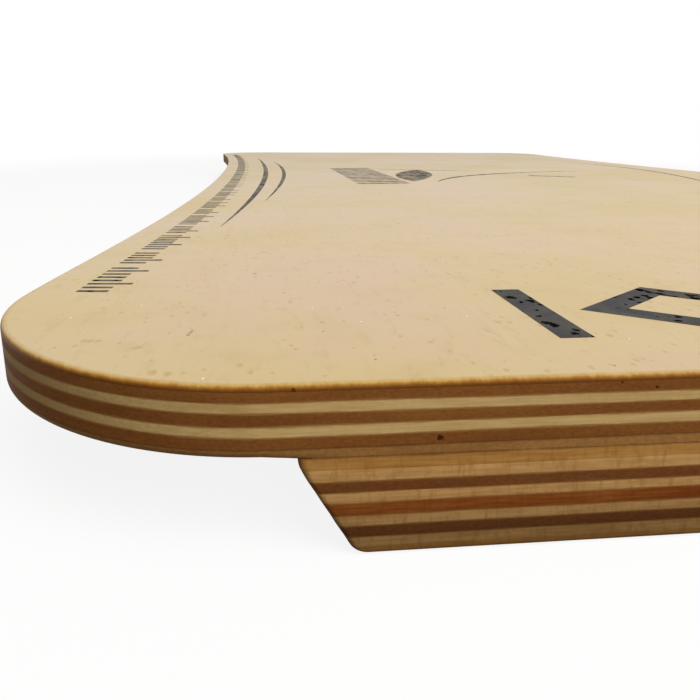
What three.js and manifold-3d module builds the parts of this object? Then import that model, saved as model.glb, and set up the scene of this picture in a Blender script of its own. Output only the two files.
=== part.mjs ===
// Balance board: a waisted plywood deck with a laminated stop block under each end.
// The board is ridden across a loose roller, and the two stops keep the roller between them.
// Units are millimetres. +Z is up, +Y runs along the deck, and the origin is on the floor
// under the middle of the board.
import * as THREE from 'three';
import * as BufferGeometryUtils from 'three/addons/utils/BufferGeometryUtils.js';
import Module from 'manifold-3d';

const wasm = await Module();
wasm.setup();

// Deck outline
const deckLength = 830;
const endWidth = 350; // widest, just behind the end corners
const waistDraw = 16; // how far each side draws in from the end width to the waist
const cornerAcross = 40; // end corner, measured along the end
const cornerAlong = 46.5; // end corner, measured along the side
const cornerEndPull = 22; // handle of the corner curve on the end
const cornerSidePull = 25; // handle of the corner curve on the side
const sidePull = 21; // handle of the side curve at the corner
const waistPull = 236; // handle of the side curve at the waist
const cornerSteps = 9;
const sideSteps = 11;

// Rounded arrises
const deckTopRound = 0.7;
const deckBottomRound = 1.2;
const stopEndRound = 1.1; // lower edge of a stop's short ends
const stopFaceRound = 0.6; // lower edge of its long faces
const roundSteps = 3;

// Stop blocks
const stopInset = 2.5; // from the end of the deck's straight end to the stop
const stopDepth = 40;
const stopEndLand = 1.2; // upright part of the stop's short ends, under the deck
const stopEndAngle = 30.5; // slope of the stop's short ends, degrees from upright
const stopPlanRound = 1;
const planRoundSteps = 3;

// Countersunk wood screws, driven up through each stop into the deck
const screwsPerStop = 4;
const screwEndDistance = 22; // from the stop's lower end to its first screw
const screwBite = 4.6; // how far a screw reaches into the deck
const screwSink = 0.6; // head below the stop's underside
const screwHeadRadius = 3.5;
const screwHeadRim = 0.3;
const screwRadius = 1.75;
const screwTip = 2.6;
const screwClearance = 0.3;
const screwSides = 12;
const driveLength = 3.8; // cross recess in the head
const driveWidth = 0.8;
const driveDepth = 1.3;

// Woods, each with the colour of its sawn and lacquered edge
const woods = {
  maple: { color: 0xdcc591, roughness: 0.32 },
  darkCore: { color: 0x75492a, roughness: 0.5 },
  paleCore: { color: 0xb09262, roughness: 0.5 },
  backing: { color: 0x825c34, roughness: 0.5 },
  amber: { color: 0x9f7541, roughness: 0.5 },
  pale: { color: 0xa98554, roughness: 0.5 },
  brown: { color: 0x5e3a20, roughness: 0.5 },
  russet: { color: 0x74431f, roughness: 0.5 },
};
const steel = { color: 0xb9b6a8, roughness: 0.35, metalness: 0.9 };

// Layers of the deck, from the face down
const deckPlies = [
  { name: 'deck_top_veneer', thickness: 0.8, wood: 'maple' },
  { name: 'deck_core_ply_1', thickness: 1.35, wood: 'darkCore' },
  { name: 'deck_core_ply_2', thickness: 1.2, wood: 'paleCore' },
  { name: 'deck_core_ply_3', thickness: 1.5, wood: 'darkCore' },
  { name: 'deck_core_ply_4', thickness: 1.2, wood: 'paleCore' },
  { name: 'deck_core_ply_5', thickness: 1.5, wood: 'darkCore' },
  { name: 'deck_bottom_veneer', thickness: 1.2, wood: 'backing' },
];

// Layers of a stop, from the glue line under the deck down
const stopPlies = [
  { thickness: 1.6, wood: 'amber' },
  { thickness: 1.35, wood: 'pale' },
  { thickness: 1.45, wood: 'brown' },
  { thickness: 1.3, wood: 'pale' },
  { thickness: 1.6, wood: 'russet' },
  { thickness: 1.3, wood: 'pale' },
  { thickness: 1.45, wood: 'brown' },
  { thickness: 1.25, wood: 'pale' },
  { thickness: 1.05, wood: 'brown' },
];

const totalThickness = (plies) => plies.reduce((sum, ply) => sum + ply.thickness, 0);
const stopThickness = totalThickness(stopPlies);
const boardHeight = stopThickness + totalThickness(deckPlies);
const stopTopLength = endWidth - 2 * (cornerAcross + stopInset);
const stopEndSlope = Math.tan(THREE.MathUtils.degToRad(stopEndAngle));

// Depth that a round edge of this radius cuts in, at a distance from the face it runs out on
function roundInset(radius, distance) {
  if (distance >= radius) return 0;
  return radius - Math.sqrt(radius ** 2 - (radius - distance) ** 2);
}

// Distances from the face at which a round edge gets an outline of its own
function roundHeights(radius) {
  const heights = [];
  for (let step = 1; step <= roundSteps; step += 1) {
    heights.push(radius * (1 - Math.cos((step * Math.PI) / (2 * roundSteps))));
  }
  return heights;
}

// A closed solid through a stack of outlines, which run counter-clockwise and match point for point
function stackedSolid(outlineAt, bottom, top, breaks) {
  const between = breaks.filter((z) => z > bottom && z < top).sort((a, b) => a - b);
  const levels = [bottom, ...between, top];
  const outlines = levels.map((z) => outlineAt(z));
  const count = outlines[0].length;
  const positions = outlines.flatMap((points, level) => points.flatMap((p) => [p.x, p.y, levels[level]]));
  const lid = (levels.length - 1) * count;
  const triangles = [];
  for (const [a, b, c] of THREE.ShapeUtils.triangulateShape(outlines[0], [])) {
    triangles.push(c, b, a, lid + a, lid + b, lid + c);
  }
  for (let level = 0; level < levels.length - 1; level += 1) {
    for (let i = 0; i < count; i += 1) {
      const low = level * count + i;
      const next = level * count + ((i + 1) % count);
      triangles.push(low, next, next + count, low, next + count, low + count);
    }
  }
  const geometry = new THREE.BufferGeometry();
  geometry.setAttribute('position', new THREE.Float32BufferAttribute(positions, 3));
  geometry.setIndex(triangles);
  return geometry;
}

// Deck outline: straight ends, tight corners, and long side curves drawn in to the waist
function deckOutline() {
  const end = deckLength / 2;
  const side = endWidth / 2;
  const waist = side - waistDraw;
  const corner = new THREE.CubicBezierCurve(
    new THREE.Vector2(side - cornerAcross, end),
    new THREE.Vector2(side - cornerAcross + cornerEndPull, end),
    new THREE.Vector2(side, end - cornerAlong + cornerSidePull),
    new THREE.Vector2(side, end - cornerAlong),
  );
  const flank = new THREE.CubicBezierCurve(
    new THREE.Vector2(side, end - cornerAlong),
    new THREE.Vector2(side, end - cornerAlong - sidePull),
    new THREE.Vector2(waist, waistPull),
    new THREE.Vector2(waist, 0),
  );
  const quarter = [...corner.getPoints(cornerSteps), ...flank.getPoints(sideSteps).slice(1)];
  const mirrored = (points, sx, sy) => points.map((p) => new THREE.Vector2(p.x * sx, p.y * sy));
  const clockwise = [
    ...quarter,
    ...mirrored(quarter.slice(0, -1), 1, -1).reverse(),
    ...mirrored(quarter, -1, -1),
    ...mirrored(quarter.slice(0, -1), -1, 1).reverse(),
  ];
  return clockwise.reverse();
}

// The outline moved inwards along its own normals, by an inset that depends on the point
function insetOutline(outline, insetAt) {
  return outline.map((p, i) => {
    const before = outline[(i + outline.length - 1) % outline.length];
    const after = outline[(i + 1) % outline.length];
    const normal = new THREE.Vector2(after.y - before.y, before.x - after.x).normalize();
    return p.clone().addScaledVector(normal, -insetAt(p));
  });
}

// Stop outline at a height: a rectangle with its corners rounded in plan
function stopOutline(z, lowY, highY) {
  const back = roundInset(stopFaceRound, z) + stopPlanRound;
  const drop = Math.max(stopThickness - stopEndLand - z, 0);
  const x = stopTopLength / 2 - drop * stopEndSlope - roundInset(stopEndRound, z) - stopPlanRound;
  const corners = [
    { x, y: highY - back, turn: 0 },
    { x: -x, y: highY - back, turn: 1 },
    { x: -x, y: lowY + back, turn: 2 },
    { x, y: lowY + back, turn: 3 },
  ];
  return corners.flatMap((corner) => {
    const points = [];
    for (let step = 0; step <= planRoundSteps; step += 1) {
      const angle = ((corner.turn + step / planRoundSteps) * Math.PI) / 2;
      const point = new THREE.Vector2(Math.cos(angle), Math.sin(angle)).multiplyScalar(stopPlanRound);
      points.push(point.add(new THREE.Vector2(corner.x, corner.y)));
    }
    return points;
  });
}

// Screw body as a turned profile: head at the bottom, point at the top
function screwProfile(grow, reachDown, reachUp) {
  const head = screwHeadRadius + grow;
  const shank = screwRadius + grow;
  const rimTop = screwSink + screwHeadRim + grow;
  const neck = rimTop + head - shank;
  const tip = stopThickness + screwBite + reachUp;
  const profile = [
    [0, screwSink - reachDown],
    [head, screwSink - reachDown],
    [head, rimTop],
    [shank, neck],
    [shank, tip - screwTip],
    [0, tip],
  ];
  const turned = new THREE.LatheGeometry(profile.map(([r, z]) => new THREE.Vector2(r, z)), screwSides);
  return turned.rotateX(Math.PI / 2);
}

// manifold-3d solid of a closed geometry, with its shared vertices merged
function toSolid(geometry) {
  const bare = geometry.clone();
  bare.deleteAttribute('normal');
  bare.deleteAttribute('uv');
  const merged = BufferGeometryUtils.mergeVertices(bare, 1e-5);
  return new wasm.Manifold(
    new wasm.Mesh({
      numProp: 3,
      vertProperties: merged.getAttribute('position').array,
      triVerts: new Uint32Array(merged.getIndex().array),
    }),
  );
}

function toGeometry(solid) {
  const mesh = solid.getMesh();
  const geometry = new THREE.BufferGeometry();
  geometry.setAttribute('position', new THREE.BufferAttribute(mesh.vertProperties, 3));
  geometry.setIndex(new THREE.BufferAttribute(mesh.triVerts, 1));
  return geometry;
}

const board = new THREE.Group();

function addPiece(name, geometry, { color, roughness, metalness = 0 }) {
  geometry.computeVertexNormals();
  const material = new THREE.MeshStandardMaterial({ color, roughness, metalness });
  const mesh = new THREE.Mesh(geometry, material);
  mesh.name = name;
  board.add(mesh);
}

// Screw places: evenly spaced along the middle of each stop
const ends = [
  { name: 'front', lowY: -deckLength / 2 },
  { name: 'rear', lowY: deckLength / 2 - stopDepth },
];
const stopLowerHalf = stopTopLength / 2 - (stopThickness - stopEndLand) * stopEndSlope;
const firstScrew = stopLowerHalf - screwEndDistance;
for (const end of ends) {
  end.screws = [];
  for (let i = 0; i < screwsPerStop; i += 1) {
    const x = -firstScrew + (2 * firstScrew * i) / (screwsPerStop - 1);
    end.screws.push(new THREE.Vector2(x, end.lowY + stopDepth / 2));
  }
}

// The screw holes are the screw itself, grown by its clearance
const screwHole = toSolid(screwProfile(screwClearance, screwSink + 1, screwClearance));
const screwHoles = ends.flatMap((end) => end.screws.map((p) => screwHole.translate(p.x, p.y, 0)));
const screwReach = stopThickness + screwBite + screwClearance;

function drilled(geometry, bottom) {
  if (bottom >= screwReach) return geometry;
  let solid = toSolid(geometry);
  for (const hole of screwHoles) solid = solid.subtract(hole);
  return toGeometry(solid);
}

// Deck, laid up from the face down. Its lower edge is rounded except along the straight ends,
// which are sanded flush with the stops glued under them.
const outline = deckOutline();
const onStraightEnd = (p) => Math.abs(p.y) > deckLength / 2 - 1e-6;
const deckShape = (z) => {
  const fromTop = roundInset(deckTopRound, boardHeight - z);
  const fromBottom = roundInset(deckBottomRound, z - stopThickness);
  return insetOutline(outline, (p) => Math.max(fromTop, onStraightEnd(p) ? 0 : fromBottom));
};
const deckBreaks = [
  ...roundHeights(deckTopRound).map((h) => boardHeight - h),
  ...roundHeights(deckBottomRound).map((h) => stopThickness + h),
];
let face = boardHeight;
for (const [i, ply] of deckPlies.entries()) {
  const bottom = i === deckPlies.length - 1 ? stopThickness : face - ply.thickness;
  const solid = stackedSolid(deckShape, bottom, face, deckBreaks);
  addPiece(ply.name, drilled(solid, bottom), woods[ply.wood]);
  face = bottom;
}

// Stops, laid up from the glue line down, one under each end of the deck
const stopBreaks = [...roundHeights(stopEndRound), ...roundHeights(stopFaceRound), stopThickness - stopEndLand];
for (const end of ends) {
  let top = stopThickness;
  for (const [i, ply] of stopPlies.entries()) {
    const bottom = i === stopPlies.length - 1 ? 0 : top - ply.thickness;
    const shape = (z) => stopOutline(z, end.lowY, end.lowY + stopDepth);
    const solid = stackedSolid(shape, bottom, top, stopBreaks);
    addPiece(`${end.name}_stop_ply_${i + 1}`, drilled(solid, bottom), woods[ply.wood]);
    top = bottom;
  }
}

// Screws, each with a cross recess for the driver
const slot = new THREE.BoxGeometry(driveLength, driveWidth, 2 * driveDepth);
slot.translate(0, 0, screwSink);
const recess = toSolid(slot).add(toSolid(slot.clone().rotateZ(Math.PI / 2)));
const screw = toSolid(screwProfile(0, 0, 0)).subtract(recess);
for (const end of ends) {
  for (const [i, place] of end.screws.entries()) {
    const placed = toGeometry(screw.translate(place.x, place.y, 0));
    addPiece(`${end.name}_stop_screw_${i + 1}`, placed, steel);
  }
}

export default board;
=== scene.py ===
# Balance board: a waisted plywood deck with a laminated stop under each end, lacquered and printed.
# Metres throughout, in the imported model's own frame: +Z up, +Y along the deck.
import math

import bmesh
import bpy
import numpy as np
from mathutils import Matrix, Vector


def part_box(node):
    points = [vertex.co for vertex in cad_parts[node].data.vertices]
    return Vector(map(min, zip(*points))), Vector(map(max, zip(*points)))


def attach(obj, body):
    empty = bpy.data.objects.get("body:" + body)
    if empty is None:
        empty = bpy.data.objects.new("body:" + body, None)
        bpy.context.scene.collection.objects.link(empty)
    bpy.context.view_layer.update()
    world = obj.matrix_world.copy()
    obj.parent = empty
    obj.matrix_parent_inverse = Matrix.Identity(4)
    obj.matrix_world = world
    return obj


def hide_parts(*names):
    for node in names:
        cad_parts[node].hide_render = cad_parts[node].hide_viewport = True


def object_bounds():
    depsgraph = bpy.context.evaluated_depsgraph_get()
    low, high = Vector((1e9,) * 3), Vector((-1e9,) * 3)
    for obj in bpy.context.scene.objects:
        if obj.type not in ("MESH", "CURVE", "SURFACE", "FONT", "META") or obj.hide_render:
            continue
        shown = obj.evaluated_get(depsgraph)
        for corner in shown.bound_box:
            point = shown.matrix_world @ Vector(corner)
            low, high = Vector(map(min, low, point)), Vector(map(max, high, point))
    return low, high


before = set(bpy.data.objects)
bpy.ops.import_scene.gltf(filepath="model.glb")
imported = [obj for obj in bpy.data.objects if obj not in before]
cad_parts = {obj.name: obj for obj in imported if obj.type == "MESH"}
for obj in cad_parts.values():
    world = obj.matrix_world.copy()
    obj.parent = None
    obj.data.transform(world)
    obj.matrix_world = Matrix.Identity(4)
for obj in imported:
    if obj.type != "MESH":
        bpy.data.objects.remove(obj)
cadLow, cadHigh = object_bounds()
print("frame loaded")

mm = 0.001
scene = bpy.context.scene


# Camera, standing low in front of the near left corner

camera = {
    "place": (-0.13573, -0.4916, 0.04735),
    "turn": 6.70,  # degrees to the right of the deck's own direction
    "dip": 16.32,  # degrees below level
    "roll": 0.31,
    "lens": 38.785,
    "sensor": 36.0,
    "clip": (0.005, 50),
}


def makeCamera():
    data = bpy.data.cameras.new("camera")
    data.lens = camera["lens"]
    data.sensor_width = camera["sensor"]
    data.clip_start, data.clip_end = camera["clip"]
    item = bpy.data.objects.new("camera", data)
    scene.collection.objects.link(item)
    turned = Matrix.Rotation(-math.radians(camera["turn"]), 4, "Z")
    tipped = Matrix.Rotation(math.radians(90 - camera["dip"]), 4, "X")
    rolled = Matrix.Rotation(math.radians(camera["roll"]), 4, "Z")
    item.matrix_world = Matrix.Translation(camera["place"]) @ turned @ tipped @ rolled
    scene.camera = item


makeCamera()


# Shader helpers

def linear(colour):
    # sRGB hex to linear: c / 12.92 below the knee, ((c + 0.055) / 1.055) ** 2.4 above it
    parts = [int(colour[i : i + 2], 16) / 255 for i in (1, 3, 5)]
    return tuple(c / 12.92 if c <= 0.04045 else ((c + 0.055) / 1.055) ** 2.4 for c in parts) + (1.0,)


def addNode(tree, kind, inputs=None, **settings):
    # inputs are values, or sockets to link, by socket name or number
    node = tree.nodes.new(kind)
    for name, value in settings.items():
        setattr(node, name, value)
    for name, value in (inputs or {}).items():
        if isinstance(value, bpy.types.NodeSocket):
            tree.links.new(value, node.inputs[name])
        else:
            node.inputs[name].default_value = value
    return node


def newMaterial(name):
    material = bpy.data.materials.new(name)
    material.use_nodes = True
    material.node_tree.nodes.clear()
    return material, material.node_tree


def finishMaterial(tree, surface):
    addNode(tree, "ShaderNodeOutputMaterial", {"Surface": surface.outputs[0]})


def objectPlace(tree):
    return addNode(tree, "ShaderNodeTexCoord").outputs["Object"]


def attributeValue(tree, name):
    return addNode(tree, "ShaderNodeAttribute", attribute_name=name).outputs["Fac"]


def calculate(tree, operation, *values):
    # One step of arithmetic on numbers or sockets
    return addNode(tree, "ShaderNodeMath", dict(enumerate(values)), operation=operation).outputs[0]


def stretched(tree, place, scale):
    return addNode(tree, "ShaderNodeMapping", {"Vector": place, "Scale": scale}).outputs[0]


def noise(tree, place, size, detail, roughness):
    # Cloudy noise with features of the given size in metres, one number or one for each axis
    if isinstance(size, tuple):
        place = stretched(tree, place, tuple(1 / part for part in size))
        size = 1.0
    inputs = {"Vector": place, "Scale": 1 / size, "Detail": detail, "Roughness": roughness}
    return addNode(tree, "ShaderNodeTexNoise", inputs).outputs["Fac"]


def scatter(tree, place, pitches):
    # Distance to the nearest of many points thrown over a plane, in shares of their pitches
    inputs = {"Vector": stretched(tree, place, (1 / pitches[0], 1 / pitches[1], 1)), "Scale": 1.0}
    return addNode(tree, "ShaderNodeTexVoronoi", inputs, voronoi_dimensions="2D").outputs["Distance"]


def span(tree, value, source, target):
    # Smooth step of a value from one range to another
    inputs = {"Value": value, "From Min": source[0], "From Max": source[1]}
    inputs |= {"To Min": target[0], "To Max": target[1]}
    return addNode(tree, "ShaderNodeMapRange", inputs, interpolation_type="SMOOTHSTEP").outputs[0]


def blend(tree, share, first, second, how="MIX"):
    # Colours mixed by a share: first x (1 - share) + second x share
    inputs = {0: share, 6: first, 7: second}
    return addNode(tree, "ShaderNodeMix", inputs, data_type="RGBA", blend_type=how).outputs[2]


def tinted(tree, colour, value, reach, share, tint):
    # A colour that takes on a share of a tint while a value runs through its reach
    return blend(tree, span(tree, value, reach, (0, share)), colour, linear(tint))


def ramp(tree, value, stops):
    # Colours along a value from 0 to 1; stops are its places and colours, in order
    node = addNode(tree, "ShaderNodeValToRGB", {"Fac": value})
    elements = node.color_ramp.elements
    for element, (place, colour) in ((elements[0], stops[0]), (elements[1], stops[-1])):
        element.position = place
        element.color = linear(colour)
    for place, colour in stops[1:-1]:
        elements.new(place).color = linear(colour)
    return node.outputs[0]


def relief(tree, height, strength, depth, over=None, invert=False):
    # Bump for a height from 0 to 1, its depth in metres, over another bump if there is one
    inputs = {"Height": height, "Strength": strength, "Distance": depth}
    if over:
        inputs["Normal"] = over
    return addNode(tree, "ShaderNodeBump", inputs, invert=invert).outputs[0]


# Small dark spots, in shares of each spot's own radius
spot = {"edgeSize": 0.4 * mm, "raggedness": 4, "outer": 3.4, "inner": 2.8, "share": 0.9}


def spots(tree, place, colour, spotPlaces, tint):
    # How far a place is from each spot's middle, made ragged by noise, against the spot's radius
    edge = noise(tree, place, spot["edgeSize"], 2.0, 0.6)
    for middle, radius in spotPlaces:
        away = addNode(tree, "ShaderNodeVectorMath", {0: place, 1: middle}, operation="DISTANCE")
        gap = calculate(tree, "MULTIPLY_ADD", edge, spot["raggedness"] * radius, away.outputs["Value"])
        reach = (spot["outer"] * radius, spot["inner"] * radius)
        colour = tinted(tree, colour, gap, reach, spot["share"], tint)
    return colour


# Rotary-cut maple under satin lacquer: a greyish cream with soft yellow and pink clouds, short
# olive flecks and pin specks. Torn fibres along the arris take the stain, so the face runs
# through yellow and burnt orange to brown down the edge of the sheet.
faceVeneer = {
    "clouds": ((0.36, "#D1B086"), (0.5, "#D0B47D"), (0.64, "#CEB274")),
    "cloudSize": 70 * mm,
    "shade": "#C0A160",
    "blotchSize": 11 * mm,
    "blotchReach": (0.45, 0.75),
    "blotchShare": 0.3,
    "grain": "#C2A262",
    "grainSize": (1.3 * mm, 45 * mm, 1.3 * mm),
    "grainReach": (0.5, 0.8),
    "grainShare": 0.22,
    "streakSize": (1.6 * mm, 6 * mm, 2 * mm),
    "streakReach": (0.53, 0.72),
    "streakShare": 0.42,
    "olive": "#B8923A",
    "fleckPitch": (2.6 * mm, 5 * mm),
    "fleckRagged": 0.45,
    "fleckCrowd": 9 * mm,
    "fleckReach": (-0.65, -0.8),
    "fleckShare": 0.65,
    "speck": "#4A2A12",
    # near-white dots painted into the colour as glints: a painted highlight of small lacquer bubbles
    "paintedGlint": "#FFFBEF",
    "dots": (((18 * mm, 36 * mm), 0.009, "speck"), ((16 * mm, 40 * mm), 0.008, "paintedGlint")),
    "dotCore": 0.6,
    "dotShare": 0.9,
    "bruise": "#7D5B2E",
    "scratch": (
        ((-0.1454, -0.3912, 0.0211), 0.28 * mm),
        ((-0.1456, -0.3922, 0.0211), 0.3 * mm),
        ((-0.1458, -0.3932, 0.0211), 0.3 * mm),
    ),
    "chip": (((-0.1328, -0.415, 0.0204), 0.22 * mm),),
    # Reaches of the arris are in millimetres in from it, and below 0 down the edge of the sheet
    "arris": ((0.0, "#BF9850"), (0.22, "#9E702F"), (0.55, "#86531F"), (1.0, "#6B3F17")),
    "arrisDepth": (-0.03, -0.8),
    "arrisReach": (0.04, -0.12),
    "rimReach": (0.4, 0.0),
    "rimShare": 0.5,
    "tornSize": (1.1 * mm, 2.5 * mm, 2 * mm),
    "tornDepth": 0.6,
    "grainRelief": (0.2, 0.02 * mm),  # strength and depth
    "rippleSize": 7 * mm,
    "rippleRelief": (0.3, 0.08 * mm),
    "edgeReach": (0.04, -0.22),
    "roughness": (0.34, 0.41),
    "specular": (0.33, 0.03),  # on the face, and down the edge
    "coat": (0.04, 0.0),
    "coatRoughness": 0.28,
}


def faceVeneerMaterial():
    v = faceVeneer
    material, tree = newMaterial("lacquered maple face veneer")
    place = objectPlace(tree)
    cloud = noise(tree, place, v["cloudSize"], 3.0, 0.55)
    colour = ramp(tree, cloud, v["clouds"])
    blotch = noise(tree, place, v["blotchSize"], 4.0, 0.6)
    colour = tinted(tree, colour, blotch, v["blotchReach"], v["blotchShare"], v["shade"])
    grain = noise(tree, place, v["grainSize"], 4.0, 0.6)
    colour = tinted(tree, colour, grain, v["grainReach"], v["grainShare"], v["grain"])
    streak = noise(tree, place, v["streakSize"], 3.0, 0.6)
    colour = tinted(tree, colour, streak, v["streakReach"], v["streakShare"], v["shade"])
    fleck = scatter(tree, place, v["fleckPitch"])
    fleck = calculate(tree, "MULTIPLY_ADD", streak, -v["fleckRagged"], fleck)
    fleck = calculate(tree, "SUBTRACT", fleck, noise(tree, place, v["fleckCrowd"], 3.0, 0.6))
    colour = tinted(tree, colour, fleck, v["fleckReach"], v["fleckShare"], v["olive"])
    # dark specks, and white dots that are painted highlights
    for pitches, size, name in v["dots"]:
        dots = scatter(tree, place, pitches)
        colour = tinted(tree, colour, dots, (size, size * v["dotCore"]), v["dotShare"], v[name])
    colour = spots(tree, place, colour, v["scratch"], v["bruise"])
    rim = attributeValue(tree, "rim")
    torn = noise(tree, place, v["tornSize"], 5.0, 0.75)
    torn = calculate(tree, "MULTIPLY_ADD", torn, v["tornDepth"], -v["tornDepth"] / 2)
    ragged = calculate(tree, "ADD", rim, torn)
    colour = tinted(tree, colour, ragged, v["rimReach"], v["rimShare"], v["arris"][0][1])
    arris = ramp(tree, span(tree, ragged, v["arrisDepth"], (0, 1)), v["arris"])
    colour = blend(tree, span(tree, ragged, v["arrisReach"], (0, 1)), colour, arris)
    colour = spots(tree, place, colour, v["chip"], v["speck"])
    ripple = noise(tree, place, v["rippleSize"], 3.0, 0.5)
    grainBump = relief(tree, grain, *v["grainRelief"])
    edge = span(tree, rim, v["edgeReach"], (0, 1))
    inputs = {
        "Base Color": colour,
        "Roughness": span(tree, cloud, (0.3, 0.7), v["roughness"]),
        "IOR": 1.5,
        "Specular IOR Level": span(tree, edge, (0, 1), v["specular"]),
        "Coat Weight": span(tree, edge, (0, 1), v["coat"]),
        "Coat Roughness": v["coatRoughness"],
        "Coat IOR": 1.5,
        "Normal": relief(tree, ripple, *v["rippleRelief"], over=grainBump),
    }
    finishMaterial(tree, addNode(tree, "ShaderNodeBsdfPrincipled", inputs))
    return material


# Sawn and sanded ply edges under the same lacquer, which the wood soaks up to a low sheen.
# Fibres that run out of the edge show as fine pores and drink more lacquer, which darkens
# them; fibres along it show as long streaks. The tones of two layers run into each other at a
# joint, where dark joints show their resin. The stop's edge gets painted shade, darker towards
# the floor it stands on.
edgeWood = {
    "poreSize": 0.3 * mm,
    "fibreLength": 6 * mm,
    "fibreReach": (0.32, 0.68),
    "evenness": 0.66,
    "toneSize": (26 * mm, 26 * mm, 3 * mm),
    "darkReach": (0.5, 0.72),
    "lightReach": (0.5, 0.28),
    "checkSize": (0.9 * mm, 0.9 * mm, 3 * mm),
    "checkReach": (0.46, 0.68),
    "endGrainReach": (0.35, 1.0),
    "endGrainShare": 0.5,
    "soakSize": (5 * mm, 5 * mm, 1.2 * mm),
    "soakDepth": 0.5,  # mm
    "blendReach": (0.21, -0.03),  # mm from a joint
    "resinReach": (0.22, 0.02),  # mm from a dark joint
    "resinShare": 0.6,
    "resin": "#5C3A1C",
    "dent": "#2C1206",
    # painted shade near the floor: full colour at the upper height, down to the share at the floor
    "floorShadeHeights": (9.5 * mm, 0.5 * mm),
    "floorShadeShare": 0.5,
    "fibreRelief": (0.3, 0.02 * mm),
    "roughness": 0.6,
    "specular": 0.03,
}
edgeWoods = {
    "dark_core_ply": {
        "name": "sanded meranti core veneer",
        "tone": "#7A4A23", "dark": "#643917", "light": "#8D5E2C", "joint": "#8F683A",
        "fibre": "y", "check": 0.12, "tones": 0.45,
        "pins": (
            ((-0.1165, -0.415, 0.0143), 0.33 * mm),
            ((-0.0915, -0.415, 0.0194), 0.2 * mm),
            ((-0.0957, -0.415, 0.0201), 0.14 * mm),
        ),
    },
    "pale_core_ply": {
        "name": "sanded poplar core veneer",
        "tone": "#BF9F67", "dark": "#A07E49", "light": "#CCAE79", "joint": "#8F683A",
        "fibre": "x", "endGrain": "#7A5632", "check": 0.15, "tones": 0.3,
    },
    "backing_veneer": {
        "name": "sanded beech backing veneer",
        "tone": "#936739", "dark": "#7A5127", "light": "#A67B47", "joint": "#835B30",
        "fibre": "y", "check": 0.2, "tones": 0.45,
    },
    "stop_amber_ply": {
        "name": "sanded larch veneer",
        "tone": "#A6763B", "dark": "#8C5B27", "light": "#B88C4E", "joint": "#A0743D",
        "fibre": "x", "endGrain": "#8C5B2C", "check": 0.5, "tones": 0.6,
    },
    "stop_pale_ply": {
        "name": "sanded birch veneer",
        "tone": "#B98D56", "dark": "#976938", "light": "#CBA169", "joint": "#8A6236",
        "fibre": "x", "endGrain": "#8E6538", "check": 0.6, "tones": 0.5,
    },
    "stop_brown_ply": {
        "name": "sanded walnut veneer",
        "tone": "#6C4020", "dark": "#532D12", "light": "#7E4F27", "joint": "#7E552B",
        "fibre": "y", "check": 0.1, "tones": 0.35,
    },
    "stop_russet_ply": {
        "name": "sanded mahogany veneer",
        "tone": "#804419", "dark": "#72300B", "light": "#A06631", "joint": "#8A5C30",
        "fibre": "x", "endGrain": "#6B3A18", "check": 0.3, "tones": 0.9,
    },
}


def edgeMaterial(spec):
    v = edgeWood
    material, tree = newMaterial(spec["name"])
    place = objectPlace(tree)
    length, pore = v["fibreLength"], v["poreSize"]
    fibreSize = (length, pore, pore) if spec["fibre"] == "x" else (pore * 2, length, pore)
    fibre = noise(tree, place, fibreSize, 4.0, 0.6)
    colour = tinted(tree, linear(spec["dark"]), fibre, v["fibreReach"], 1, spec["light"])
    colour = blend(tree, v["evenness"], colour, linear(spec["tone"]))
    tone = noise(tree, place, v["toneSize"], 4.0, 0.65)
    colour = tinted(tree, colour, tone, v["darkReach"], spec["tones"], spec["dark"])
    colour = tinted(tree, colour, tone, v["lightReach"], spec["tones"], spec["light"])
    check = noise(tree, place, v["checkSize"], 5.0, 0.75)
    colour = tinted(tree, colour, check, v["checkReach"], spec["check"], spec["dark"])
    if "endGrain" in spec:
        facing = attributeValue(tree, "sideways")
        colour = tinted(tree, colour, facing, v["endGrainReach"], v["endGrainShare"], spec["endGrain"])
    colour = spots(tree, place, colour, spec.get("pins", ()), v["dent"])
    soak = noise(tree, place, v["soakSize"], 5.0, 0.75)
    soak = calculate(tree, "MULTIPLY_ADD", soak, v["soakDepth"], -v["soakDepth"] / 2)
    seam = calculate(tree, "ADD", attributeValue(tree, "seam"), soak)
    colour = tinted(tree, colour, seam, v["blendReach"], 1, spec["joint"])
    glue = calculate(tree, "ADD", attributeValue(tree, "glue"), soak)
    colour = tinted(tree, colour, glue, v["resinReach"], v["resinShare"], v["resin"])
    height = addNode(tree, "ShaderNodeSeparateXYZ", {0: place}).outputs[2]
    # painted shade: the stop's edge colour is darkened towards the floor it stands on
    floorShade = span(tree, height, v["floorShadeHeights"], (1, v["floorShadeShare"]))
    inputs = {
        "Base Color": blend(tree, 1.0, colour, floorShade, "MULTIPLY"),
        "Roughness": v["roughness"],
        "IOR": 1.5,
        "Specular IOR Level": v["specular"],
        "Normal": relief(tree, fibre, *v["fibreRelief"]),
    }
    finishMaterial(tree, addNode(tree, "ShaderNodeBsdfPrincipled", inputs))
    return material


# Screen-printed ink under the lacquer: matt charcoal, a little uneven, with small dark chips.
# The marks where feet stand and turn are rubbed thin, so the wood shows through them in patches.
ink = {
    "charcoal": "#272726",
    "worn": "#3D3C39",
    "patchSize": 7 * mm,
    "patchReach": (0.38, 0.66),
    "chip": "#050506",
    "chipPitch": (2.6 * mm, 4 * mm),
    "chipEdge": 0.9 * mm,
    "chipCrowd": 9 * mm,
    "chipRagged": 0.9,
    "chipReach": (-0.73, -0.77),
    "chipRelief": (0.4, 0.05 * mm),
    "rubbed": "#B39C74",
    "rubSize": (4 * mm, 18 * mm, 4 * mm),
    "rubReach": (0.42, 0.66),
    "roughness": 0.5,
    "specular": (0.06, 0.0),  # on the ink, and in its chips
    "thickness": 0.03 * mm,
    "sunk": 0.02 * mm,
}


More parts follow.
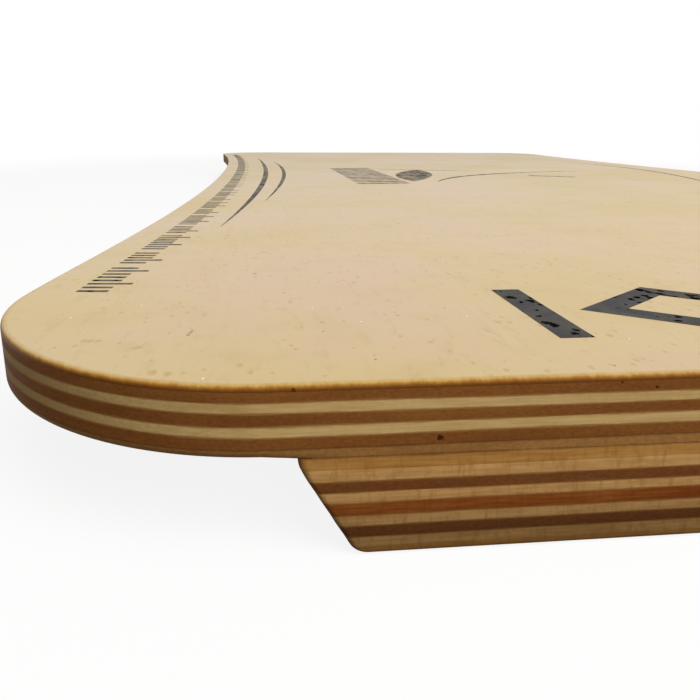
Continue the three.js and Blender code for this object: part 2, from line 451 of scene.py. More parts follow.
def inkMaterial():
    v = ink
    material, tree = newMaterial("screen-printed charcoal ink")
    place = objectPlace(tree)
    patch = noise(tree, place, v["patchSize"], 5.0, 0.75)
    colour = tinted(tree, linear(v["charcoal"]), patch, v["patchReach"], 1, v["worn"])
    chip = scatter(tree, place, v["chipPitch"])
    for size, detail, roughness in ((v["chipEdge"], 3.0, 0.6), (v["chipCrowd"], 2.0, 0.5)):
        shift = noise(tree, place, size, detail, roughness)
        chip = calculate(tree, "MULTIPLY_ADD", shift, -v["chipRagged"], chip)
    chip = span(tree, chip, v["chipReach"], (0, 1))
    colour = blend(tree, chip, colour, linear(v["chip"]))
    rub = span(tree, noise(tree, place, v["rubSize"], 5.0, 0.75), v["rubReach"], (0, 1))
    rub = calculate(tree, "MULTIPLY", rub, attributeValue(tree, "wear"))
    inputs = {
        "Base Color": blend(tree, rub, colour, linear(v["rubbed"])),
        "Roughness": v["roughness"],
        "IOR": 1.5,
        "Specular IOR Level": span(tree, chip, (0, 1), v["specular"]),
        "Normal": relief(tree, chip, *v["chipRelief"], invert=True),
    }
    finishMaterial(tree, addNode(tree, "ShaderNodeBsdfPrincipled", inputs))
    return material


# Bright zinc plating on a rolled and headed steel screw: pale grey with fine turning marks
zinc = {"bright": "#C9C8C2", "dull": "#9C9B94", "turning": 0.25 * mm, "roughness": (0.28, 0.45)}


def zincMaterial():
    v = zinc
    material, tree = newMaterial("zinc-plated steel")
    cloud = noise(tree, objectPlace(tree), v["turning"], 3.0, 0.6)
    inputs = {
        "Base Color": blend(tree, cloud, linear(v["bright"]), linear(v["dull"])),
        "Metallic": 1.0,
        "Roughness": span(tree, cloud, (0.3, 0.7), v["roughness"]),
    }
    finishMaterial(tree, addNode(tree, "ShaderNodeBsdfPrincipled", inputs))
    return material


materials = {slot: edgeMaterial(spec) for slot, spec in edgeWoods.items()}
materials["face_veneer"] = faceVeneerMaterial()
materials["printed_ink"] = inkMaterial()
materials["screw_steel"] = zincMaterial()
print("materials made")


# Mesh helpers

def loft(name, rings, capEnds=False):
    # Quads between neighbouring rings, each ring closed on itself; rings is rings x points x 3.
    # Rings run down the outside, counter-clockwise seen from above, so faces point outwards.
    ringCount, pointCount = rings.shape[:2]
    ring, point = np.meshgrid(np.arange(ringCount - 1), np.arange(pointCount), indexing="ij")
    after = (point + 1) % pointCount
    corners = [ring * pointCount + point, (ring + 1) * pointCount + point]
    corners += [(ring + 1) * pointCount + after, ring * pointCount + after]
    faces = np.stack(corners, axis=-1).reshape(-1, 4).tolist()
    if capEnds:
        faces.append(list(range(pointCount)))
        faces.append(list(range(ringCount * pointCount - 1, (ringCount - 1) * pointCount - 1, -1)))
    mesh = bpy.data.meshes.new(name)
    mesh.from_pydata(rings.reshape(-1, 3).tolist(), [], faces)
    return mesh


weldDistance = 0.5e-6


def tidyMesh(mesh, sharpAngle=38):
    # Welds the doubles at poles and spines, then smooth shading up to the sharp angle
    work = bmesh.new()
    work.from_mesh(mesh)
    bmesh.ops.remove_doubles(work, verts=work.verts, dist=weldDistance)
    work.to_mesh(mesh)
    work.free()
    mesh.shade_smooth()
    mesh.set_sharp_from_angle(angle=math.radians(sharpAngle))
    mesh.update()


def placePiece(name, mesh, slot, replaced=()):
    item = bpy.data.objects.new(name, mesh)
    scene.collection.objects.link(item)
    mesh.materials.clear()
    mesh.materials.append(materials[slot])
    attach(item, "root")
    if replaced:
        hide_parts(*replaced)
    return item


def vertexPlaces(mesh):
    places = np.empty(len(mesh.vertices) * 3, np.float32)
    mesh.vertices.foreach_get("co", places)
    return places.reshape(-1, 3).astype(float)


def writeAttribute(mesh, name, values):
    attribute = mesh.attributes.new(name, "FLOAT", "POINT")
    attribute.data.foreach_set("value", np.asarray(values, np.float32))


# Layers: where each ply starts and ends, and how its glue lines wander

laminate = {
    "wander": ((0.055, 210.0), (0.035, 64.0), (0.018, 21.0)),  # height and wavelength, mm
    "grooveDepth": 0.008 * mm,
    "grooveWidth": 0.06 * mm,
    "farAway": 5.0,  # mm, for places near no joint
    "seeds": {"deck": 11, "front": 31, "rear": 51},
    "deckJoints": ((6, 7), (1,)),  # the dark joints, then the plain ones
    "stopJoints": ((0,), (1, 8)),
    "levels": (0.0, 0.02, 0.05, 0.1, 0.2, 0.5, 0.8, 0.9, 0.95, 0.98, 1.0),
    "roundSteps": 9,
}
deckNodes = ["deck_top_veneer"] + [f"deck_core_ply_{i + 1}" for i in range(5)] + ["deck_bottom_veneer"]
deckSlots = {
    "deck_top_veneer": "face_veneer",
    "deck_core_ply_1": "dark_core_ply",
    "deck_core_ply_2": "pale_core_ply",
    "deck_core_ply_3": "dark_core_ply",
    "deck_core_ply_4": "pale_core_ply",
    "deck_core_ply_5": "dark_core_ply",
    "deck_bottom_veneer": "backing_veneer",
}
stopSlots = ["stop_amber_ply", "stop_pale_ply", "stop_brown_ply", "stop_pale_ply", "stop_russet_ply"]
stopSlots += ["stop_pale_ply", "stop_brown_ply", "stop_pale_ply", "stop_amber_ply"]


def wander(seed):
    # Height of a glue line over a place: a sum of sine waves, each with its own direction and phase
    draw = np.random.default_rng(seed)
    turns = draw.uniform(0, math.pi, len(laminate["wander"]))
    phases = draw.uniform(0, 2 * math.pi, len(laminate["wander"]))

    def height(x, y):
        total = np.zeros(np.broadcast(x, y).shape)
        for (size, length), turn, phase in zip(laminate["wander"], turns, phases):
            way = (x * math.cos(turn) + y * math.sin(turn)) / (length * mm)
            total += size * mm * np.sin(2 * math.pi * way + phase)
        return total

    return height


def flat(x, y):
    return np.zeros(np.broadcast(x, y).shape)


def roundInset(radius, distance):
    # Quarter circle: how far a rounded arris stands back at a distance from its face
    reach = np.clip(radius - distance, 0, radius)
    return radius - np.sqrt(radius**2 - reach**2)


def levelsBetween(low, high, rounds):
    # Shares of a layer's height at which it gets a ring: the plain ones and those of the arrises
    shares = set(laminate["levels"])
    for face, radius, side in rounds:
        steps = np.linspace(0, math.pi / 2, laminate["roundSteps"] + 1)
        heights = face + side * radius * (1 - np.cos(steps))
        shares.update(float((h - low) / (high - low)) for h in heights if low < h < high)
    return np.array(sorted(shares, reverse=True))


def groove(distance):
    # The lacquer sinks in a fine groove along a glue line: a bell curve of the distance to it
    return laminate["grooveDepth"] * np.exp(-((distance / laminate["grooveWidth"]) ** 2))


# Deck outline: straight ends, tight corners, and long side curves drawn in to the waist

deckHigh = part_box("deck_core_ply_2")[1]
deck = {
    "cornerAcross": 40 * mm,
    "cornerAlong": 46.5 * mm,
    "cornerEndPull": 22 * mm,
    "cornerSidePull": 25 * mm,
    "sidePull": 21 * mm,
    "waistPull": 236 * mm,
    "waistDraw": 16 * mm,
    "topRound": 0.7 * mm,
    "bottomRound": 1.2 * mm,
    "endSteps": 34,
    "cornerSteps": 44,
    "sideSteps": 96,
    "flushBand": 10 * mm,  # from the end, where the lower arris fades out
    "flushFade": 4 * mm,
    "faceSink": 0.02 * mm,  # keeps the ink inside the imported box
    "topTolerance": 0.001 * mm,
    "end": deckHigh.y,
    "side": deckHigh.x,
    "capInsets": (0.25 * mm, 0.8 * mm, 1.6 * mm, 3 * mm, 5 * mm, 8 * mm, 12 * mm),
    "capShares": (0.25, 0.6, 1.0),
}
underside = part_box("deck_bottom_veneer")[0].z
faceHeight = cadHigh.z - ink["thickness"] - deck["faceSink"]


def cubic(p0, p1, p2, p3, t):
    # Bezier curve: the corner points weighted by the Bernstein polynomials of t
    t = t[:, None]
    firstHalf = (1 - t) ** 3 * np.array(p0) + 3 * (1 - t) ** 2 * t * np.array(p1)
    return firstHalf + 3 * (1 - t) * t**2 * np.array(p2) + t**3 * np.array(p3)


def deckOutline():
    # One quarter, from the middle of the end to the waist, mirrored round to a closed loop
    d = deck
    end, side = d["end"], d["side"]
    straight = side - d["cornerAcross"]
    shoulder = end - d["cornerAlong"]
    endLine = np.stack([np.linspace(0, straight, d["endSteps"]), np.full(d["endSteps"], end)], axis=1)
    corner = cubic(
        (straight, end),
        (straight + d["cornerEndPull"], end),
        (side, shoulder + d["cornerSidePull"]),
        (side, shoulder),
        np.linspace(0, 1, d["cornerSteps"]),
    )
    waist = side - d["waistDraw"]
    flank = cubic(
        (side, shoulder),
        (side, shoulder - d["sidePull"]),
        (waist, d["waistPull"]),
        (waist, 0),
        np.linspace(0, 1, d["sideSteps"]),
    )
    quarter = np.concatenate([endLine, corner[1:], flank[1:]])
    parts = [quarter, (quarter * (1, -1))[::-1][1:], (quarter * (-1, -1))[1:]]
    parts.append((quarter * (-1, 1))[::-1][1:-1])
    loop = np.concatenate(parts)[::-1]
    along = np.roll(loop, -1, axis=0) - np.roll(loop, 1, axis=0)
    along /= np.linalg.norm(along, axis=1, keepdims=True)
    return loop, np.stack([along[:, 1], -along[:, 0]], axis=1)


outline, outward = deckOutline()


# The lower arris is rounded except along the straight ends, which are sanded flush with the stops
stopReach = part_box("front_stop_ply_1")[1].x
pastStop = np.clip((np.abs(outline[:, 0]) - stopReach) / deck["flushFade"], 0, 1)
onEnd = np.abs(outline[:, 1]) > deck["end"] - deck["flushBand"]
lowerShare = np.where(onEnd, pastStop**2 * (3 - 2 * pastStop), 1)


def deckWallInset(z):
    top = roundInset(deck["topRound"], faceHeight - z)
    bottom = roundInset(deck["bottomRound"], z - underside) * lowerShare
    return np.maximum(top, bottom)


def deckCap(height, startInset, visible, up):
    # Rings that follow the outline inwards, then shares of the way to a line down the middle
    rings = []
    loop = outline - outward * startInset[:, None]
    if visible:
        for inset in deck["capInsets"]:
            rings.append(outline - outward * (startInset[:, None] + inset))
        loop = rings[-1]
    reach = deck["end"] - deck["side"]
    spine = np.stack([np.zeros(len(loop)), np.clip(loop[:, 1], -reach, reach)], axis=1)
    for share in deck["capShares"] if visible else (1.0,):
        rings.append(loop * (1 - share) + spine * share)
    rings = [np.column_stack([ring, height(ring[:, 0], ring[:, 1])]) for ring in rings]
    return rings[::-1] if up else rings


def deckPly(node, index, lowHeight, highHeight):
    # Rings down the ply's edge: the outline, drawn in by arris and groove at each height
    low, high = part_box(node)
    visibleTop, visibleBottom = index == 0, index == len(deckNodes) - 1
    topFace = faceHeight if visibleTop else high.z
    rounds = ((faceHeight, deck["topRound"], -1), (underside, deck["bottomRound"], 1))
    shares = levelsBetween(low.z, topFace, rounds)
    lowEdge = low.z + lowHeight(outline[:, 0], outline[:, 1])
    highEdge = topFace + highHeight(outline[:, 0], outline[:, 1])
    z = lowEdge + (highEdge - lowEdge) * shares[:, None]
    inset = deckWallInset(z)
    if not visibleBottom:
        inset = inset + groove(z - lowEdge)
    if not visibleTop:
        inset = inset + groove(highEdge - z)
    x = outline[:, 0] - outward[:, 0] * inset
    y = outline[:, 1] - outward[:, 1] * inset
    wall = np.stack([x, y, z], axis=-1)
    topCap = deckCap(lambda a, b: topFace + highHeight(a, b), inset[0], visibleTop, True)
    bottomCap = deckCap(lambda a, b: low.z + lowHeight(a, b), inset[-1], visibleBottom, False)
    return loft(node + "_finish", np.concatenate([topCap, wall, bottomCap]))


# Countersunk wood screws: a turned body with a helical thread and a cross recess in the head

screw = {
    "headRadius": 3.5 * mm,
    "rim": 0.3 * mm,
    "sink": 0.6 * mm,
    "shank": 1.22 * mm,
    "crest": 1.75 * mm,
    "pitch": 1.6 * mm,
    "taper": 2.6 * mm,
    "plain": 4.2 * mm,
    "armLength": 2.0 * mm,
    "armWidth": 0.46 * mm,
    "recess": 1.7 * mm,
    "clearance": 0.25 * mm,
    "threadWidth": 0.22,  # share of the pitch
    "threadStart": 0.8 * mm,
    "thinnest": 0.02,  # share of the shank at the tip
    "edgeBreak": 0.12 * mm,
    "armSteepness": 1.6,
    "shankSteps": 110,
    "coneSteps": 8,
    "faceSteps": 34,
    "sides": 96,
    "cutSides": 40,
    "cutBelow": 2 * mm,
}


def screwMesh(name, x, y, tipHeight):
    # Rings from the tip down. The thread peaks once per turn of the height over the pitch less
    # the angle. The recess is the deeper of two crossed arms, each by its smaller reach inside.
    s = screw
    angle = np.linspace(0, 2 * math.pi, s["sides"], endpoint=False)
    neck = s["sink"] + s["rim"] + s["headRadius"] - s["shank"]
    shankZ = np.linspace(tipHeight, neck, s["shankSteps"])
    taper = (tipHeight - shankZ) / s["taper"]
    shank = s["shank"] * np.clip(taper, s["thinnest"], 1)
    turn = (shankZ[:, None] / s["pitch"] - angle / (2 * math.pi)) % 1.0
    peak = np.clip(1 - np.abs(turn - 0.5) / s["threadWidth"], 0, 1)
    threaded = np.clip((shankZ - s["plain"]) / s["threadStart"], 0, 1)
    height = (s["crest"] - s["shank"]) * np.clip(taper, 0, 1) * threaded
    shankR = shank[:, None] + height[:, None] * peak
    cone = np.linspace(0, 1, s["coneSteps"])[1:]
    coneR = s["shank"] + (s["headRadius"] - s["shank"]) * cone
    coneZ = neck - (s["headRadius"] - s["shank"]) * cone
    inside = np.linspace(s["headRadius"] - s["edgeBreak"], 0, s["faceSteps"])
    faceR = np.concatenate([[s["headRadius"]], inside])
    faceZ = np.full(len(faceR), s["sink"])
    faceZ[0] += s["edgeBreak"]
    headR = np.concatenate([coneR, faceR])
    radius = np.concatenate([shankR, np.repeat(headR[:, None], s["sides"], axis=1)])
    z = np.concatenate([shankZ, coneZ, faceZ])[:, None].repeat(s["sides"], axis=1)
    px, py = radius * np.cos(angle), radius * np.sin(angle)
    armX = np.minimum(1 - np.abs(px) / s["armLength"], (1 - np.abs(py) / s["armWidth"]) * 2)
    armY = np.minimum(1 - np.abs(py) / s["armLength"], (1 - np.abs(px) / s["armWidth"]) * 2)
    depth = s["recess"] * np.clip(np.maximum(armX, armY) * s["armSteepness"], 0, 1)
    onFace = np.arange(len(z)) > len(shankZ) + len(coneZ)
    z = z + depth * onFace[:, None]
    tip = np.full((1, s["sides"], 3), (0, 0, tipHeight))
    rings = np.concatenate([tip, np.stack([px, py, z], axis=-1)])
    return loft(name, rings + (x, y, 0))


def screwHole(x, y, tipHeight):
    # The screw's plain shape grown by its clearance, reaching out below the stop
    s = screw
    angle = np.linspace(0, 2 * math.pi, s["cutSides"], endpoint=False)
    head, shank = s["headRadius"] + s["clearance"], s["crest"] + s["clearance"]
    rimTop = s["sink"] + s["rim"] + s["clearance"]
    profile = [(0, tipHeight + s["clearance"]), (shank, tipHeight - s["taper"])]
    profile += [(shank, rimTop + head - shank), (head, rimTop)]
    profile += [(head, -s["cutBelow"]), (0, -s["cutBelow"])]
    radius, z = np.array(profile).T
    holeX = x + radius[:, None] * np.cos(angle)
    holeY = y + radius[:, None] * np.sin(angle)
    holeZ = np.repeat(z[:, None], len(angle), axis=1)
    return loft("screw_hole", np.stack([holeX, holeY, holeZ], axis=-1))


screwNodes = [f"{end}_stop_screw_{i + 1}" for end in ("front", "rear") for i in range(4)]
screwPlaces = []
for node in screwNodes:
    low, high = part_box(node)
    screwPlaces.append(((low.x + high.x) / 2, (low.y + high.y) / 2, high.z))


def makeCutter():
    work = bmesh.new()
    for place in screwPlaces:
        hole = screwHole(*place)
        work.from_mesh(hole)
        bpy.data.meshes.remove(hole)
    bmesh.ops.remove_doubles(work, verts=work.verts, dist=weldDistance)
    mesh = bpy.data.meshes.new("screw_holes")
    work.to_mesh(mesh)
    work.free()
    item = bpy.data.objects.new("screw_holes", mesh)
    scene.collection.objects.link(item)
    return item


cutter = makeCutter()


def drill(item):
    # Cuts the screw holes by a boolean and keeps its result as the mesh
    cut = item.modifiers.new("screw holes", "BOOLEAN")
    cut.operation = "DIFFERENCE"
    cut.solver = "EXACT"
    cut.object = cutter
    graph = bpy.context.evaluated_depsgraph_get()
    result = bpy.data.meshes.new_from_object(item.evaluated_get(graph))
    item.modifiers.clear()
    old = item.data
    item.data = result
    result.name = old.name
    bpy.data.meshes.remove(old)


def markSeams(mesh, index, joints, planes, darkJoints, plainJoints):
    # seam and glue are the distances in millimetres to the nearest joint, and to the nearest dark
    # one. A plain joint lies between two layers of nearly one tone, and gets no mark. sideways is
    # how far the surface faces across the deck, where crosswise fibres show their ends.
    x, y, z = vertexPlaces(mesh).T
    seam, glue = np.full((2, len(z)), laminate["farAway"])
    for side, joint in ((1, index), (-1, index + 1)):
        if joints[joint] is None or joint in plainJoints:
            continue
        gap = side * (planes[joint] + joints[joint](x, y) - z) / mm
        if joint in darkJoints:
            glue = np.minimum(glue, gap)
        else:
            seam = np.minimum(seam, gap)
    writeAttribute(mesh, "seam", seam)
    writeAttribute(mesh, "glue", glue)
    normals = np.empty(len(mesh.vertices) * 3, np.float32)
    mesh.vertex_normals.foreach_get("vector", normals)
    writeAttribute(mesh, "sideways", np.abs(normals[::3]))


# Deck. Joints are the surfaces between layers, counted from the face; None is an open face.

def jointHeight(joints, index):
    return joints[index] or flat


screwTop = max(place[2] for place in screwPlaces)
deckJoints = [None] + [wander(laminate["seeds"]["deck"] + i) for i in range(len(deckNodes) - 1)] + [flat]
deckPlanes = [cadHigh.z] + [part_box(node)[0].z for node in deckNodes]
for index, node in enumerate(deckNodes):
    mesh = deckPly(node, index, jointHeight(deckJoints, index + 1), jointHeight(deckJoints, index))
    tidyMesh(mesh)
    item = placePiece(node + "_finish", mesh, deckSlots[node], [node])
    if deckPlanes[index + 1] < screwTop + screw["clearance"]:
        drill(item)
    if index:
        markSeams(item.data, index, deckJoints, deckPlanes, *laminate["deckJoints"])
    else:
        x, y, z = vertexPlaces(item.data).T
        distances = np.hypot(x[:, None] - outline[:, 0], y[:, None] - outline[:, 1]).min(axis=1)
        onTop = z > faceHeight - deck["topTolerance"]
        rim = np.where(onTop, (distances - deck["topRound"]) / mm, (z - faceHeight) / mm)
        writeAttribute(item.data, "rim", rim)
print("deck made")


# Stops: flush with the deck's end, their short ends sloping in to the floor

stop = {
    "land": 1.2 * mm,
    "landBlend": 0.6 * mm,
    "slope": math.tan(math.radians(30.5)),
    "endRound": 1.1 * mm,
    "faceRound": 0.6 * mm,
    "planRound": 1.0 * mm,
    "longSteps": 68,
    "shortSteps": 12,
    "turnSteps": 9,
    "spineShort": 12 * mm,
    "capShare": 0.06,
}


def stopOutline(z, half, lowY, highY):
    # A rectangle with quarter circles at its corners, for every height in z at once
    s = stop
    drop = underside - s["land"] - z
    drop = (drop + np.sqrt(drop**2 + s["landBlend"] ** 2)) / 2
    reach = half - drop * s["slope"] - roundInset(s["endRound"], z) - s["planRound"]
    back = roundInset(s["faceRound"], z)
    turn = np.linspace(0, math.pi / 2, s["turnSteps"])
    xs, ys = [], []
    steps = [s["longSteps"], s["shortSteps"]] * 2
    for quarter in range(4):
        signX = 1 if quarter in (0, 3) else -1
        signY = 1 if quarter in (0, 1) else -1
        centreX = signX * reach[:, None]
        edgeY = (highY - back if signY > 0 else lowY + back)[:, None]
        centreY = edgeY - signY * s["planRound"]
        angle = turn + quarter * math.pi / 2
        xs.append(centreX + s["planRound"] * np.cos(angle))
        ys.append(centreY + s["planRound"] * np.sin(angle))
        share = np.linspace(0, 1, steps[quarter] + 1)[1:-1]
        along = quarter % 2 == 0
        if along:
            xs.append(centreX * (1 - 2 * share))
            ys.append(np.repeat(edgeY, len(share), axis=1))
        else:
            edgeX = centreX + signX * s["planRound"]
            nextY = lowY + highY - centreY
            xs.append(np.repeat(edgeX, len(share), axis=1))
            ys.append(centreY + (nextY - centreY) * share)
    return np.concatenate(xs, axis=1), np.concatenate(ys, axis=1)


def stopPly(node, lowHeight, highHeight, half, lowY, highY):
    low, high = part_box(node)
    rounds = ((0.0, stop["endRound"], 1), (0.0, stop["faceRound"], 1))
    shares = levelsBetween(low.z, high.z, rounds)
    zFlat = low.z + (high.z - low.z) * shares
    x, y = stopOutline(zFlat, half, lowY, highY)
    lowEdge, highEdge = low.z + lowHeight(x, y), high.z + highHeight(x, y)
    z = lowEdge + (highEdge - lowEdge) * shares[:, None]
    inset = np.zeros_like(z)
    if lowHeight is not flat:
        inset = inset + groove(z - lowEdge)
    if highHeight is not flat:
        inset = inset + groove(highEdge - z)
    alongX = np.roll(x, -1, axis=1) - np.roll(x, 1, axis=1)
    alongY = np.roll(y, -1, axis=1) - np.roll(y, 1, axis=1)
    length = np.hypot(alongX, alongY)
    x = x - alongY / length * inset
    y = y + alongX / length * inset
    wall = np.stack([x, y, z], axis=-1)
    middle = (lowY + highY) / 2
    caps = []
    for ring, height, plane in ((wall[0], highHeight, high.z), (wall[-1], lowHeight, low.z)):
        limit = half - (highY - lowY) / 2 - stop["spineShort"]
        spineX = np.clip(ring[:, 0], -limit, limit)
        spine = np.stack([spineX, np.full(len(spineX), middle), plane + height(spineX, middle)], axis=-1)
        near = ring + (spine - ring) * stop["capShare"]
        near[:, 2] = plane + height(near[:, 0], near[:, 1])
        caps.append([spine, near])
    rings = np.concatenate([caps[0], wall, caps[1][::-1]])
    return loft(node + "_finish", rings)


for end in ("front", "rear"):
    nodes = [f"{end}_stop_ply_{i + 1}" for i in range(len(stopSlots))]
    topLow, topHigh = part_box(nodes[0])
    seed = laminate["seeds"][end]
    joints = [flat] + [wander(seed + i) for i in range(len(nodes) - 1)] + [None]
    planes = [topHigh.z] + [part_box(node)[0].z for node in nodes]
    for index, (node, slot) in enumerate(zip(nodes, stopSlots)):
        heights = jointHeight(joints, index + 1), jointHeight(joints, index)
        mesh = stopPly(node, *heights, topHigh.x, topLow.y, topHigh.y)
        tidyMesh(mesh)
        item = placePiece(node + "_finish", mesh, slot, [node])
        drill(item)
        markSeams(item.data, index, joints, planes, *laminate["stopJoints"])
print("stops made")

for node, place in zip(screwNodes, screwPlaces):
    mesh = screwMesh(node + "_finish", *place)
    tidyMesh(mesh, sharpAngle=30)
    placePiece(node + "_finish", mesh, "screw_steel", [node])
cutterMesh = cutter.data
bpy.data.objects.remove(cutter)
bpy.data.meshes.remove(cutterMesh)
print("screws made")


# Printed marks: plain bars, diamonds and tapered arcs in one thin layer of ink

marks = {
    "bandStart": 15.4 * mm,  # from the deck's end
    "bandHeight": 31.2 * mm,
    "bandHalf": 97 * mm,
    "endBar": 4.8 * mm,
    "gap": 4.5 * mm,
    "diamonds": 5,
    "diamondHollow": 0.56,
    "tickPitch": 3.1 * mm,
    "tickWidth": 1.35 * mm,
    "tickLengths": (5.2, 5.2, 7.8, 5.2, 5.2, 5.2, 7.8, 5.2, 0, 5.2, 7.8, 5.2, 5.2, 5.2, 0),
    "tickInset": 8.0 * mm,
    "tickSlant": 0.6 * mm,
    "tickStart": 52 * mm,  # from the deck's end
    "tickEnd": 0.33,
    "arcFullness": 0.8,
    "arcBlunt": 0.01,
    "sideArcs": (  # start, middle, end, width
        ((-0.147, -0.276), (-0.1325, -0.03), (-0.138, 0.245), 2.9 * mm),
        ((-0.134, -0.198), (-0.1212, -0.015), (-0.1245, 0.155), 2.2 * mm),
        ((0.128, 0.17), (0.127, 0.0), (0.075, -0.17), 2.0 * mm),
    ),
    "rungX": (-0.087, -0.060),
    "rungY": (-0.106, 0.05),
    "rungPitch": 12.5 * mm,
    "rungRise": 4 * mm,
    "rungWidth": 6.5 * mm,
    "kite": ((-0.055, -0.09), (-0.043, -0.03), (-0.030, 0.026), 22 * mm, 40),  # and its steps
    "centreArcs": (
        ((-0.055, 0.031), (-0.024, 0.0225), (0.006, 0.0075), 3 * mm),
        ((-0.043, -0.094), (0.0, -0.03), (0.078, 0.0095), 4.2 * mm),
    ),
    "dash": ((0.025, -0.041), (0.048, -0.056), 4 * mm),
    "weldDistance": 0.2e-6,
    "bandWear": 0.05,  # shares of the ink that is rubbed away in patches
    "tickWear": 0.3,
    "arcWear": 0.6,
    "centreWear": 0.85,
}


def ribbon(points, half):
    # A flat band: each station's left and right edges, low and high, as one closed ring
    along = np.gradient(points, axis=0)
    along /= np.linalg.norm(along, axis=1, keepdims=True)
    side = np.stack([-along[:, 1], along[:, 0]], axis=1) * np.asarray(half)[:, None]
    low = faceHeight - ink["sunk"]
    high = faceHeight + ink["thickness"]
    left, right = points + side, points - side
    count = len(points)
    corners = [
        np.column_stack([right, np.full(count, low)]),
        np.column_stack([left, np.full(count, low)]),
        np.column_stack([left, np.full(count, high)]),
        np.column_stack([right, np.full(count, high)]),
    ]
    return np.stack(corners, axis=1)


def bar(start, finish, width):
    points = np.array([start, finish], float)
    return ribbon(points, [width / 2, width / 2])


def taperedArc(start, middle, end, width, steps=60):
    # A parabola through three places, as wide as a power of the sine of the way along it
    t = np.linspace(0, 1, steps)[:, None]
    start, middle, end = np.array(start), np.array(middle), np.array(end)
    control = 2 * middle - (start + end) / 2
    points = (1 - t) ** 2 * start + 2 * t * (1 - t) * control + t**2 * end
    inside = np.clip(t[:, 0], marks["arcBlunt"], 1 - marks["arcBlunt"])
    fullness = np.sin(math.pi * inside) ** marks["arcFullness"]
    return ribbon(points, width / 2 * fullness)


def printMark(name, wear, bands, closedBands=()):
    work = bmesh.new()
    for rings in bands:
        mesh = loft(name, rings, capEnds=True)
        work.from_mesh(mesh)
        bpy.data.meshes.remove(mesh)
    for rings in closedBands:
        mesh = loft(name, np.concatenate([rings, rings[:1]]))
        work.from_mesh(mesh)
        bpy.data.meshes.remove(mesh)
    bmesh.ops.remove_doubles(work, verts=work.verts, dist=marks["weldDistance"])
    bmesh.ops.recalc_face_normals(work, faces=work.faces)
    mesh = bpy.data.meshes.new(name)
    work.to_mesh(mesh)
    work.free()
    writeAttribute(mesh, "wear", np.full(len(mesh.vertices), wear))
    placePiece(name, mesh, "printed_ink")


def diamondRing(centre, halfWidth, halfHeight, share):
    # Outer and inner rhombus as a ring of four mitred strokes
    corner = np.array([(1, 0), (0, 1), (-1, 0), (0, -1)], float) * (halfWidth, halfHeight)
    outer, inner = np.array(centre) + corner, np.array(centre) + corner * share
    low, high = faceHeight - ink["sunk"], faceHeight + ink["thickness"]
    loops = ((outer, low), (inner, low), (inner, high), (outer, high))
    return np.stack([np.column_stack([loop, np.full(4, z)]) for loop, z in loops], axis=1)


bandLow = -deck["end"] + marks["bandStart"]
bandHigh = bandLow + marks["bandHeight"]
bandMiddle = (bandLow + bandHigh) / 2
barX = marks["bandHalf"] - marks["endBar"] / 2
bandBars = [bar((x, bandLow), (x, bandHigh), marks["endBar"]) for x in (-barX, barX)]
room = marks["bandHalf"] - marks["endBar"] - marks["gap"]
pitch = 2 * room / marks["diamonds"]
bandDiamonds = []
for i in range(marks["diamonds"]):
    middle = (-room + pitch * (i + 0.5), bandMiddle)
    bandDiamonds.append(diamondRing(middle, pitch / 2, marks["bandHeight"] / 2, marks["diamondHollow"]))
printMark("front_mark_band", marks["bandWear"], bandBars, bandDiamonds)

# Scale of short ticks that follows the left edge
leftEdge = outline[outline[:, 0] < 0]
leftEdge = leftEdge[np.argsort(leftEdge[:, 1])]
ticks = []
tickY = -deck["end"] + marks["tickStart"]
index = 0
while tickY < marks["tickEnd"]:
    length = marks["tickLengths"][index % len(marks["tickLengths"])] * mm
    if length:
        x = np.interp(tickY, leftEdge[:, 1], leftEdge[:, 0]) + marks["tickInset"]
        ticks.append(bar((x, tickY), (x + length, tickY - marks["tickSlant"]), marks["tickWidth"]))
    tickY += marks["tickPitch"]
    index += 1
printMark("left_stance_scale", marks["tickWear"], ticks)

printMark("side_arcs", marks["arcWear"], [taperedArc(*spec) for spec in marks["sideArcs"]])

rungLeft, rungRight = marks["rungX"]
centreBands = []
for y in np.arange(*marks["rungY"], marks["rungPitch"]):
    centreBands.append(bar((rungLeft, y), (rungRight, y + marks["rungRise"]), marks["rungWidth"]))
centreBands += [taperedArc(*spec) for spec in (marks["kite"], *marks["centreArcs"])]
centreBands.append(bar(*marks["dash"]))
printMark("centre_mark", marks["centreWear"], centreBands)
print("marks printed")


# Stage: a pale floor and a white surround, one large soft light in front and a weak one overhead

stage = {
    "floorBounce": "#6E6C68",
    "floorSeen": "#FAF9F7",
    "floorReach": 6.0,
    "floorDrop": 0.2 * mm,  # keeps the floor clear of the undersides that stand on it
    "white": "#FFFFFF",
    "shadowShare": 0.12,
    "shadowReach": (0.35, 0.75),  # m from the middle, over which the floor turns plain white
    "shadowSqueeze": (1.0, 0.6, 1.0),
    "worldLight": "#ECEAE6",
    "worldStrength": 0.25,
}


def seenRays(tree):
    # 1 for rays from the camera and for mirrored and refracted ones, 0 for light that is scattered
    path = addNode(tree, "ShaderNodeLightPath")
    seen = path.outputs["Is Camera Ray"]
    for name in ("Is Glossy Ray", "Is Transmission Ray"):
        seen = calculate(tree, "MAXIMUM", seen, path.outputs[name])
    return seen


def mixShaders(tree, share, first, second):
    return addNode(tree, "ShaderNodeMixShader", {0: share, 1: first.outputs[0], 2: second.outputs[0]})


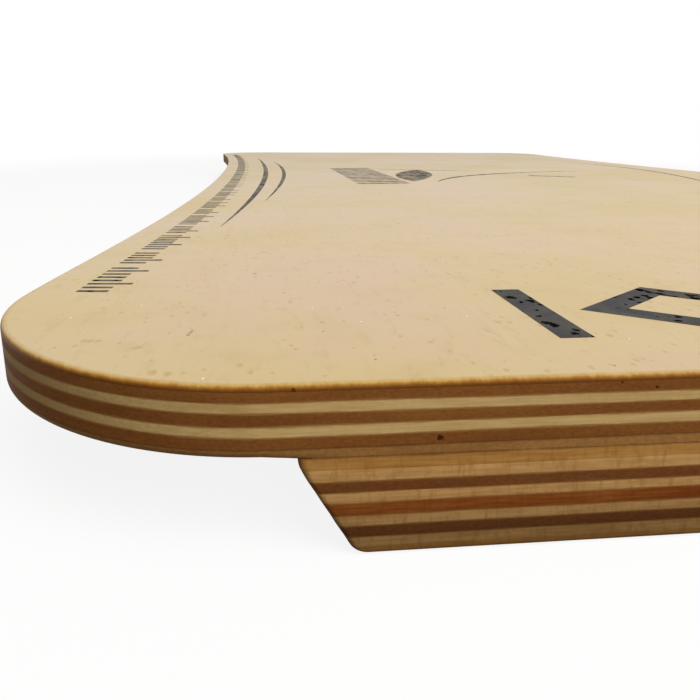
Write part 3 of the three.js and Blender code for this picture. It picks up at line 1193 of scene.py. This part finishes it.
def floorMaterial():
    # White to the eye, with a share of real diffuse white that takes the shadow near the object,
    # and clear from below, so that the underside can be looked at
    material, tree = newMaterial("pale studio floor")
    seen = seenRays(tree)
    colour = blend(tree, seen, linear(stage["floorBounce"]), linear(stage["floorSeen"]))
    plain = addNode(tree, "ShaderNodeBsdfDiffuse", {"Color": colour})
    white = addNode(tree, "ShaderNodeEmission", {"Color": linear(stage["white"]), "Strength": 1.0})
    squeezed = stretched(tree, objectPlace(tree), stage["shadowSqueeze"])
    away = addNode(tree, "ShaderNodeVectorMath", {0: squeezed}, operation="LENGTH")
    whiteShare = span(tree, away.outputs["Value"], stage["shadowReach"], (1 - stage["shadowShare"], 1))
    surface = mixShaders(tree, calculate(tree, "MULTIPLY", seen, whiteShare), plain, white)
    below = addNode(tree, "ShaderNodeNewGeometry").outputs["Backfacing"]
    clear = addNode(tree, "ShaderNodeBsdfTransparent")
    finishMaterial(tree, mixShaders(tree, below, surface, clear))
    return material


def makeStage():
    reach, drop = stage["floorReach"], -stage["floorDrop"]
    corners = [(x * reach, y * reach, drop) for x, y in ((-1, -1), (1, -1), (1, 1), (-1, 1))]
    floor = bpy.data.meshes.new("floor")
    floor.from_pydata(corners, [], [(0, 1, 2, 3)])
    floor.materials.append(floorMaterial())
    item = bpy.data.objects.new("floor", floor)
    scene.collection.objects.link(item)
    world = bpy.data.worlds.new("studio")
    scene.world = world
    world.use_nodes = True
    tree = world.node_tree
    tree.nodes.clear()
    inputs = {"Color": linear(stage["worldLight"]), "Strength": stage["worldStrength"]}
    light = addNode(tree, "ShaderNodeBackground", inputs)
    white = addNode(tree, "ShaderNodeBackground", {"Color": linear(stage["white"]), "Strength": 1.0})
    surround = mixShaders(tree, seenRays(tree), light, white)
    addNode(tree, "ShaderNodeOutputWorld", {"Surface": surround.outputs[0]})


lamps = {
    "key": {"place": (0.6, -1.34, 1.14), "aim": (0, -0.38, 0), "size": 1.5, "power": 33.0},
    "overhead": {"place": (0.3, -0.5, 1.5), "aim": (0, -0.3, 0), "size": 1.5, "power": 2.5},
}


def makeLamps():
    for name, spec in lamps.items():
        data = bpy.data.lights.new(name, "AREA")
        data.shape = "SQUARE"
        data.size = spec["size"]
        data.energy = spec["power"]
        item = bpy.data.objects.new(name, data)
        scene.collection.objects.link(item)
        away = np.array(spec["place"]) - np.array(spec["aim"])
        item.location = spec["place"]
        yaw = math.atan2(away[0], -away[1])
        tilt = math.atan2(math.hypot(away[0], away[1]), away[2])
        item.rotation_euler = (tilt, 0, yaw)


makeStage()
makeLamps()
scene.view_settings.view_transform = "Standard"
print("stage made")
